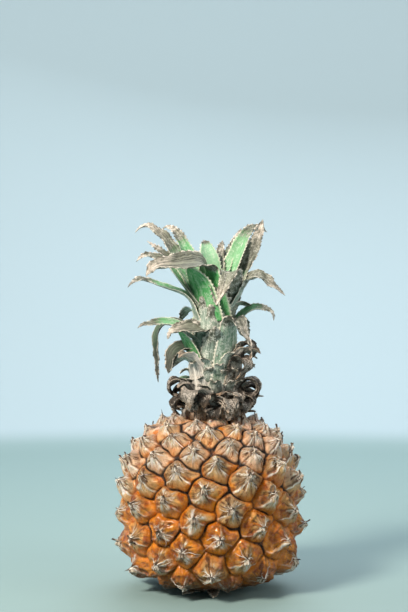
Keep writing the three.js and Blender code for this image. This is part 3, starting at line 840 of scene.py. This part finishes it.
# %% Blades
SPINE_PITCH, SPINE_LENGTH, SPINE_LEAN, FEWEST_SPINES = 1.9, 0.75, 0.7, 6
SPINE_SWELL = np.array([0.0, 0.35, 1.0])
MIDRIB_THICKNESS, MARGIN_THICKNESS = 1.0, 0.3
WAVER, WAVER_PITCH, CRUMPLE, CRUMPLE_FINER = 0.7, 9, 1.5, 2.3
COLUMNS = np.array([-1, -0.94, -0.74, -0.48, -0.22, 0, 0.22, 0.48, 0.74, 0.94, 1])


def dryness(leaf, s):
    """How dry the blade is at shares s of its length, from 0 to 1. Tips dry first."""
    start, stretch = leaf.dies
    return np.clip(leaf.dry + (1 - leaf.dry) * smooth((s - start + 0.3 * leaf.dry) / stretch), 0, 1)


def unrest(grid, leaf_dryness):
    """How far the blade stands off its smooth form: a slow waver, and crumples where it is dry."""
    places, side = grid.reshape(-1, 3), np.abs(COLUMNS[None, :])
    waver = noise_at(places, 1.0).reshape(grid.shape[:2]) * WAVER * side ** 1.5
    crumple = noise_at(places * CRUMPLE_FINER, 2.0).reshape(grid.shape[:2]) * CRUMPLE * leaf_dryness[:, None]
    return waver + crumple * (0.3 + side)


def blade(leaf, seed):
    """A leaf's closed body, and for each point its place on the blade and its state."""
    rows = 3 * max(FEWEST_SPINES, round(leaf.length / SPINE_PITCH)) + 1
    s, t = np.linspace(0, 1, rows), COLUMNS[None, :]
    points, along, side, upper = leaf.midrib(s)
    half, dry = leaf.half_width(s), dryness(leaf, s)
    swell = SPINE_SWELL[np.arange(rows) % 3]
    swell *= SPINE_LENGTH * smooth((1 - s) / 0.1) * (0.75 + 0.5 * draw(seed))
    cup = math.radians(leaf.cup) * (1 + 0.5 * dry[:, None] * (0.5 + draw(seed + 60)))
    margin = np.zeros_like(t)
    margin[0, 0], margin[0, -1] = -1, 1
    x = half[:, None] * np.sin(cup * t) / cup + margin * swell[:, None]
    y = half[:, None] * (1 - np.cos(cup * t)) / cup
    grid = np.stack(np.broadcast_arrays(s[:, None] * leaf.length / WAVER_PITCH, t * 1.2, seed * 3.3), 2)
    y = y + unrest(grid, dry) * smooth(half / 2.5)[:, None] * smooth(s / 0.15)[:, None]
    forward = np.abs(margin) * swell[:, None] * SPINE_LEAN
    middle = (points[:, None] + x[..., None] * side[:, None] + y[..., None] * upper[:, None]
              + forward[..., None] * along[:, None])
    thick = MARGIN_THICKNESS + (MIDRIB_THICKNESS * (1 - 0.5 * s)[:, None] - MARGIN_THICKNESS) * (1 - t * t)
    offset = (thick / 2)[..., None] * upper[:, None]
    body = closed_strip(middle + offset, middle - offset)
    place = np.stack(np.broadcast_arrays(t, s[:, None], seed * 0.37 % 1), 2).reshape(-1, 3)
    state = [np.stack(np.broadcast_arrays(dry[:, None] + 0 * t, sheet, leaf.green), 2).reshape(-1, 3)
             for sheet in (1.0, 0.0)]
    return body, np.concatenate([place, place]), np.concatenate(state)


def add_leaves(name, leaves, first_seed, material):
    """One piece that holds all of these leaves."""
    made = [blade(leaf, first_seed + i) for i, leaf in enumerate(leaves)]
    points, faces = joined([body for body, _, _ in made])
    piece = add_mesh(name, points, faces, material, {
        "blade_place": np.concatenate([place for _, place, _ in made]),
        "blade_state": np.concatenate([state for _, _, state in made]),
    })
    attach(piece, "root")
    return piece


# %% [markdown]
# The colours of a leaf
#
# Pineapple leaves wear a pale scurf, a skin of tiny scales, thick on the underside and worn off the
# upper side, where the green shows. Veins run along the blade. A dying leaf turns grey and then beige
# from the tip down. The mesh says how dry each point is, which side it is on and how green the leaf is,
# so one material does all living leaves. A negative green gives a leaf with little scurf, painted near
# black as shade. Leaves low in the crown are painted darker as shade too.

# %% Palette of the leaves
FRESH, FRESH_VEIN = ("#86b693", "#158a34"), "#8fd49b"
SILVER, WITHERING = ("#62746a", "#a3b5aa"), ("#373b33", "#797e70")
SHADED_LEAF, SCURF = ("#14170f", "#3d4439"), "#e4e7e2"
BLEACHED_TIP, LEAF_FOOT_SHADE = "#efe0d8", "#373532"
RIM = "#e6ded4", "#463c33"
BROWN, GREY, WHITE_RIB = ("#14100e", "#41372f"), ("#3e3933", "#a19a90"), "#eceae6"
DRY_SCURF, DRY_TIP, DRY_RIM = "#d8d0c8", "#c8a88c", "#c4b09c"


# %% Living leaf material
def blade_fields(n, fineness):
    """A point's place on the blade and its state, with veins that run along it."""
    f = SimpleNamespace(place=n.position())
    f.across, f.along, seed = n.read_three("blade_place")
    f.dry, f.upper, f.green = n.read_three("blade_state")
    f.veins = n.join(f.across * fineness, f.along * 2.2, seed * 53.0).noise(1.0, 4.0, 0.6)
    f.ribs = f.veins.band(0.35, 0.65)
    return f


def living_blade(f, scurf):
    """Silver scales or fresh green, dry from the tip down, and bleached at the very tip."""
    fresh = (f.ribs * 0.4).mix(f.green.mix(*FRESH), FRESH_VEIN)
    shown = (f.upper * 0.9).most(f.green.band(0.8, 1.0, 0.0, 0.9))
    limit = f.dry + (scurf - 0.5) * 0.6
    face = limit.band(0.25, 0.7).mix(shown.mix(f.ribs.mix(*SILVER), fresh), f.ribs.mix(*WITHERING))
    bleached = limit.band(0.85, 1.1) * f.along.band(0.68, 0.98) * f.veins.band(0.38, 0.55, 0.25, 0.9)
    face = bleached.mix(face, BLEACHED_TIP)
    # Painted shade: a negative green turns the leaf near black, as a leaf that hangs in shadow looks.
    return f.green.band(0.0, -1.0, 0.0, 0.95).mix(face, f.ribs.mix(*SHADED_LEAF))


def leaf_material():
    n = Nodes("crown_leaf")
    f = blade_fields(n, 9.0)
    scurf, dust = f.place.noise(420.0, 4.0, 0.65), f.place.noise(1700.0, 2.0)
    pale = scurf.band(0.42, 0.62) * dust.band(0.35, 0.6) * f.green.band(0.8, 1.0, 1.0, 0.35)
    pale = pale * f.green.band(0.0, -0.8, 1.0, 0.12) * f.upper.band(0.0, 1.0, 0.85, 0.4)
    # Painted shade: from 120 mm down to 96 mm the leaves turn dark grey, where the crown's foot lies in
    # shade.
    foot = f.place.split()[2].band(0.12, 0.096) * scurf.band(0.65, 0.45, 0.55, 1.0)
    face = foot.mix(pale.mix(living_blade(f, scurf), SCURF), LEAF_FOOT_SHADE)
    rim = (scurf.band(0.52, 0.46) * f.dry.band(0.2, 0.7)).mix(*RIM)
    face = (abs(f.across).band(0.91, 1.0) * 0.75).mix(face, rim)
    relief_of_veins = f.veins.bump(0.5, 0.7)
    return n.done(base_color=face, roughness=scurf.band(0.3, 0.7, 0.5, 0.8),
                  normal=dust.bump(0.15, 0.6, relief_of_veins))

# %% Withered leaf material
def withered_material():
    n = Nodes("withered_leaf")
    f = blade_fields(n, 11.0)
    blotches, dust = f.place.noise(210.0, 4.0, 0.6), f.place.noise(1500.0, 2.0)
    grey = (f.green * f.veins.band(0.42, 0.6, 0.35, 0.8)).mix(f.veins.band(0.42, 0.58).mix(*GREY), WHITE_RIB)
    light = (blotches + f.green * 0.5).band(0.48, 0.66) * f.upper.band(0.0, 1.0, 1.0, 0.3)
    face = light.mix(f.ribs.mix(*BROWN), grey)
    pale = blotches.band(0.42, 0.6) * dust.band(0.42, 0.62) * 0.6
    tips = f.along.band(0.75, 1.0) * f.veins.band(0.4, 0.6) * 0.7
    margin = abs(f.across).band(0.9, 1.0) * blotches.band(0.4, 0.6) * 0.5
    face = margin.mix(tips.mix(pale.mix(face, DRY_SCURF), DRY_TIP), DRY_RIM)
    return n.done(base_color=face, roughness=0.75, normal=dust.bump(0.2, 0.6, f.veins.bump(0.5, 0.8)))


green_leaf = leaf_material()
brown_leaf = withered_material()

# %% [markdown]
# The crown's living leaves
#
# The leaves that show in front are placed one by one, because their order gives this crown its face.
# The ones behind follow a rule: a golden angle, a step down and a little longer in the middle.

# %% Front and side leaves
TOP_LEAVES = [
    Leaf(118, 142, 60, 17, 24, 70, 0.82, 0.18, cup=50, hook=60, roll=-30, root=1, green=0.45),
    Leaf(104, 140, 57, 12, 27, 16, 0.7, 0.25, cup=35, roll=-60, root=4, fat=2.2, green=0.2, dies=(0.3, 0.35)),
    Leaf(165, 141, 44, 13, 8, 40, 0.6, 0.3, cup=45, dry=0.45),
    Leaf(145, 142, 52, 12, 20, 40, 0.6, 0.3, root=2, dry=0.2),
    Leaf(204, 140, 43, 15, 4, 42, 0.8, 0.2, cup=40, fat=2.2, green=0.0, dies=(0.85, 0.15)),
    Leaf(-112, 140, 68, 13, 28, 64, 0.75, 0.25, hook=70, roll=40, green=0.9, dies=(0.4, 0.35)),
    Leaf(-135, 142, 62, 12, 25, 54, 0.7, 0.3, hook=60, roll=30, green=0.75, dies=(0.55, 0.3)),
    Leaf(-100, 140, 52, 9, 26, 54, 0.6, 0.3, roll=50, dry=0.2),
    Leaf(-88, 141.5, 52, 10, 35, 78, 0.7, 0.2, hook=60, roll=50, dry=0.15),
]
SIDE_LEAVES = [
    Leaf(-80, 127.5, 60, 12, 17, 70, 0.42, 0.12, cup=35, hook=75, roll=28, green=0.7),
    Leaf(-80, 123, 41, 11, 38, 90, 0.45, 0.3, hook=35, roll=45, dry=0.1),
    Leaf(-95, 132, 54, 9, 67, 182, 0.42, 0.2, cup=30, roll=50, dry=0.2, green=-0.8),
    Leaf(-76, 117, 29, 15, 50, 160, 0.5, 0.2, cup=40, roll=30, fat=1.6, dry=0.2, green=-1.0),
    Leaf(80, 137, 50, 13, 30, 128, 0.62, 0.13, cup=45, roll=-45, green=0.5, dry=0.1, dies=(0.3, 0.35)),
    Leaf(88, 126, 40, 10, 32, 120, 0.65, 0.3, hook=60, roll=-45, dry=0.1),
]
FOLDED_LEAVES = [
    Leaf(-18, 137, 66, 21, 3, 92, 0.47, 0.1, sway=-80, cup=26, roll=48, hook=55, fat=1.5, green=1.0,
         dies=(0.38, 0.12)),
    Leaf(-22, 112, 46, 18, 6, 92, 0.5, 0.12, sway=-66, cup=26, roll=40, hook=70, fat=1.4, green=1.0,
         dies=(0.38, 0.12)),
    Leaf(64, 134, 54, 15, 12, 150, 0.6, 0.1, sway=-130, cup=28, fat=1.2, root=7, dry=0.6, dies=(0.4, 0.12)),
    Leaf(38, 97, 62, 17, 6, 142, 0.7, 0.08, sway=8, cup=35, fat=1.4, root=10, green=0.86, dies=(0.6, 0.1)),
    Leaf(-10, 134, 36, 11, 6, 165, 0.68, 0.1, sway=40, cup=30, dry=0.1),
    Leaf(2, 97, 42, 19, 3, 34, 0.7, 0.25, cup=40, fat=1.6, root=9.8),
    Leaf(-52, 139, 31, 23, 14, 30, 0.6, 0.3, cup=32, fat=2.0, root=6, green=1.0, dies=(0.9, 0.1)),
    Leaf(-58, 112, 27, 13, 22, 34, 0.6, 0.3, cup=35, fat=1.6, root=10, green=1.0, dies=(0.9, 0.1)),
]
top_leaves = add_leaves("top_leaves", TOP_LEAVES, 0, green_leaf)
side_leaves = add_leaves("side_leaves", SIDE_LEAVES, 20, green_leaf)
folded_leaves = add_leaves("folded_leaves", FOLDED_LEAVES, 30, green_leaf)
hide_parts("crown_leaves")

# %% Back leaves
BACK_LEAVES = 14
BACK_TOP_Z, BACK_STEP_Z = 137, 2.9
BACK_SPREAD, BACK_WIDTH = 170, 13
BACK_LENGTH, BACK_MIDDLE_LONGER = 19, 24


def back_leaf(i):
    offset = ((i * GOLDEN_ANGLE % 360) / 360 - 0.5) * BACK_SPREAD
    z = BACK_TOP_Z - BACK_STEP_Z * i
    length = BACK_LENGTH + BACK_MIDDLE_LONGER * math.cos(math.radians(offset)) ** 3
    return Leaf(180 + offset, z, length * (0.9 + 0.2 * draw(i)), BACK_WIDTH + 4 * draw(i + 40), 8 + 1.5 * i,
                80 + 60 * draw(i + 80), 0.5, 0.3, cup=48, root=0.85 * stem_radius(z),
                green=draw(i + 120), dry=0.3 * draw(i + 140))


add_leaves("back_leaves", [back_leaf(i) for i in range(BACK_LEAVES)], 50, green_leaf)

# %% [markdown]
# The stem and its sheaths
#
# Leaf bases wrap the stem, one over the next, so the bare stem never shows. A plain turned core is
# clothed with short scales: wide blades that hug it and let go at their tips.

# %% Stem
STEM_SIDES, STEM_RINGS = 48, 24
CORE_INSET, SCALE_INSET = 0.4, 0.2
SCALES, SCALE_FROM_Z, SCALE_STEP_Z, SCALE_WIDTH = 26, 95, 1.65, 17


def turned(profile, sides, centre_x):
    """A closed body turned from a profile of heights and radii."""
    z, radius = (np.array(v, float) for v in zip(*profile))
    angle = np.arange(sides) * 2 * math.pi / sides
    ring = np.stack([np.cos(angle), np.sin(angle), 0 * angle], 1)
    points = (ring[None] * radius[:, None, None] + np.stack([0 * z, 0 * z, z], 1)[:, None]).reshape(-1, 3)
    points[:, 0] += centre_x
    faces = [(r * sides + c, r * sides + (c + 1) % sides, (r + 1) * sides + (c + 1) % sides,
              (r + 1) * sides + c) for r in range(len(z) - 1) for c in range(sides)]
    faces += [tuple(reversed(range(sides))), tuple((len(z) - 1) * sides + c for c in range(sides))]
    return points, faces


def stem_scale(i):
    z = SCALE_FROM_Z + SCALE_STEP_Z * i
    return Leaf(40 + i * GOLDEN_ANGLE, z, 19 + 5 * draw(i + 400), SCALE_WIDTH, -2, 25 + 25 * draw(i + 420),
                0.8, 0.2, cup=62, fat=1.8, root=stem_radius(z) - SCALE_INSET, green=0.15, dry=0.15)


def add_wrapped(name, profile, material, ribs, height, seed, state):
    """A turned body in leaf material, so each point also has a place on a blade and a state."""
    points, faces = turned(profile, STEM_SIDES, CROWN_X)
    place = np.stack([ribs * np.sin(points[:, 0]), points[:, 2] / height, seed + 0 * points[:, 0]], 1)
    state = np.tile(state, (len(points), 1))
    return add_mesh(name, points, faces, material, {"blade_place": place, "blade_state": state})


stem_heights = np.linspace(STEM_PROFILE[0][0], STEM_PROFILE[-1][0], STEM_RINGS)
core = [(z, stem_radius(z) - CORE_INSET) for z in stem_heights]
stem = add_wrapped("stem", core, green_leaf, 0.5, 60, 0.5, [0.1, 0.0, 0.1])
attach(stem, "root")
add_leaves("stem_scales", [stem_scale(i) for i in range(SCALES)], 100, green_leaf)

# %% [markdown]
# Withered leaves
#
# The oldest leaves have died, gone brown and curled up in a crowded ruff over the top of the fruit.
# Eight are placed one by one. The curled ones, the shreds between them and the torn scraps of living
# leaf on the stem above are many and alike, so each kind follows its own rule.

# %% Placed dry leaves
DRY_LEAVES = [
    Leaf(-46, 95, 34, 18, 8, 110, 0.8, 0.2, cup=50, fat=1.5, root=12.6, dry=0.6, green=1.0),
    Leaf(66, 95, 38, 17, 8, 120, 0.8, 0.2, cup=50, fat=1.5, root=12.6, dry=0.6, green=0.3),
    Leaf(75, 97, 36, 13, 22, 350, 0.6, 0.42, cup=30, fat=1.5, root=11, dry=0.5, green=0.0),
    Leaf(52, 100, 38, 12, 8, 230, 0.62, 0.22, cup=30, fat=1.3, root=12.6, dry=0.5, green=0.1),
    Leaf(66, 100, 46, 12, 6, 235, 0.68, 0.2, cup=30, fat=1.3, root=12.6, dry=0.5, green=0.1),
    Leaf(-82, 101.5, 24, 12, 46, 260, 0.6, 0.35, cup=30, fat=1.3, root=11, dry=0.5, green=0.0),
    Leaf(-30, 95, 24, 16, 30, 200, 0.6, 0.35, cup=30, root=13, dry=0.6),
    Leaf(24, 94, 18, 13, 40, 220, 0.6, 0.35, cup=30, root=13, dry=0.6),
]
dry_leaves = add_leaves("dry_leaves", DRY_LEAVES, 150, brown_leaf)
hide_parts("withered_leaves")

# %% Scraps, shreds and curls
SCRAPS, SCRAP_FROM_Z, SCRAP_STEP_Z, SCRAP_SPREAD, SCRAP_CLEAR = 16, 97, 1.25, 150, 1.2
SHREDS, SHRED_FROM_Z, SHRED_STEP_Z, SHRED_ROOT = 26, 91, 0.5, 13.4
CURLED_LEAVES, CURLED_FROM_Z, CURLED_STEP_Z = 20, 91.5, 0.42
CURLED_WIDTH, CURLED_ROOT = 12, 12.4


def scrap(i):
    azimuth = SCRAP_SPREAD * (i * GOLDEN_ANGLE % 360 / 360 - 0.5)
    z = SCRAP_FROM_Z + SCRAP_STEP_Z * i
    return Leaf(azimuth, z, 8 + 5 * draw(i + 700), 6 + 4 * draw(i + 730), 2 + 14 * draw(i + 760),
                40 + 90 * draw(i + 790), 0.6, 0.3, sway=90 * (draw(i + 820) - 0.5), cup=35,
                root=stem_radius(z) + SCRAP_CLEAR, dry=0.3 * draw(i + 850), green=0.3 * draw(i + 880))


def shred(i):
    return Leaf(25 + i * GOLDEN_ANGLE, SHRED_FROM_Z + SHRED_STEP_Z * i, 8 + 7 * draw(i + 500),
                3.5 + 3 * draw(i + 530), 30 + 60 * draw(i + 560), 90 + 130 * draw(i + 590), 0.5, 0.4,
                sway=80 * (draw(i + 620) - 0.5), cup=30, root=SHRED_ROOT, dry=0.7, green=draw(i + 650))


def curled_leaf(i):
    return Leaf(i * GOLDEN_ANGLE, CURLED_FROM_Z + CURLED_STEP_Z * i, 13 + 6 * draw(i + 160),
                CURLED_WIDTH, 40 + 20 * draw(i + 200), 190 + 80 * draw(i + 240), 0.6, 0.35,
                cup=30, root=CURLED_ROOT, dry=0.7, green=0.0)


add_leaves("scraps", [scrap(i) for i in range(SCRAPS)], 270, green_leaf)
add_leaves("shreds", [shred(i) for i in range(SHREDS)], 230, brown_leaf)
curled = [curled_leaf(i) for i in range(CURLED_LEAVES)]
add_leaves("curled_leaves", curled, 170, brown_leaf)

# %% Sheath
SHEATH_PROFILE = [(88.6, 14.6), (93, 15.2), (100, 13.6), (104, 12.2)]

sheath = add_wrapped("sheath", SHEATH_PROFILE, brown_leaf, 0.6, 30, 0.3, [0.6, 1.0, 0.0])
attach(sheath, "root")

# %% [markdown]
# The cut stalk
#
# The fruit stands on the stub of its stalk, cut off flat below the rind. Small dried bracts ring it and
# peep out at the front. The stub is woody, with pale fibres.

# %% Stalk
STUB_RADIUS, STUB_TOP_Z, STUB_EDGE_Z, STUB_BOTTOM_Z, STUB_TAPER = 8.2, 3, 1, 0, 0.9
BASAL_BRACTS, BASAL_Z, BASAL_WIDTH, BASAL_ROOT_DEPTH = 8, 1.0, 6, 1.5
LONG_BRACT_EVERY, LONG_BRACT = 5, 23
STALK_SHADES = "#a8937a", "#f1e6d8"


def stalk_material():
    n = Nodes("dry_stalk")
    fibres = n.position().noise(700.0, 4.0, 0.7)
    return n.done(base_color=fibres.band(0.35, 0.65).mix(*STALK_SHADES), roughness=0.85,
                  normal=fibres.bump(0.4, 0.7))


def basal_bract(i):
    length = 7 + 6 * draw(i + 280) if i % LONG_BRACT_EVERY else LONG_BRACT
    return Leaf(i * GOLDEN_ANGLE, BASAL_Z, length, BASAL_WIDTH, 90, 84 + 8 * draw(i + 320), 0.6, 0.3,
                cup=8, root=STUB_RADIUS - BASAL_ROOT_DEPTH, dry=0.3)


stub = [(STUB_BOTTOM_Z, STUB_RADIUS), (STUB_EDGE_Z, STUB_RADIUS), (STUB_TOP_Z, STUB_RADIUS * STUB_TAPER)]
stub_points, stub_faces = turned(stub, STEM_SIDES, 0)
dry_stalk = stalk_material()
stalk = add_mesh("stalk_stub", stub_points, stub_faces, dry_stalk)
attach(stalk, "root")
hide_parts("stalk")
add_leaves("basal_bracts", [basal_bract(i) for i in range(BASAL_BRACTS)], 210, dry_stalk)
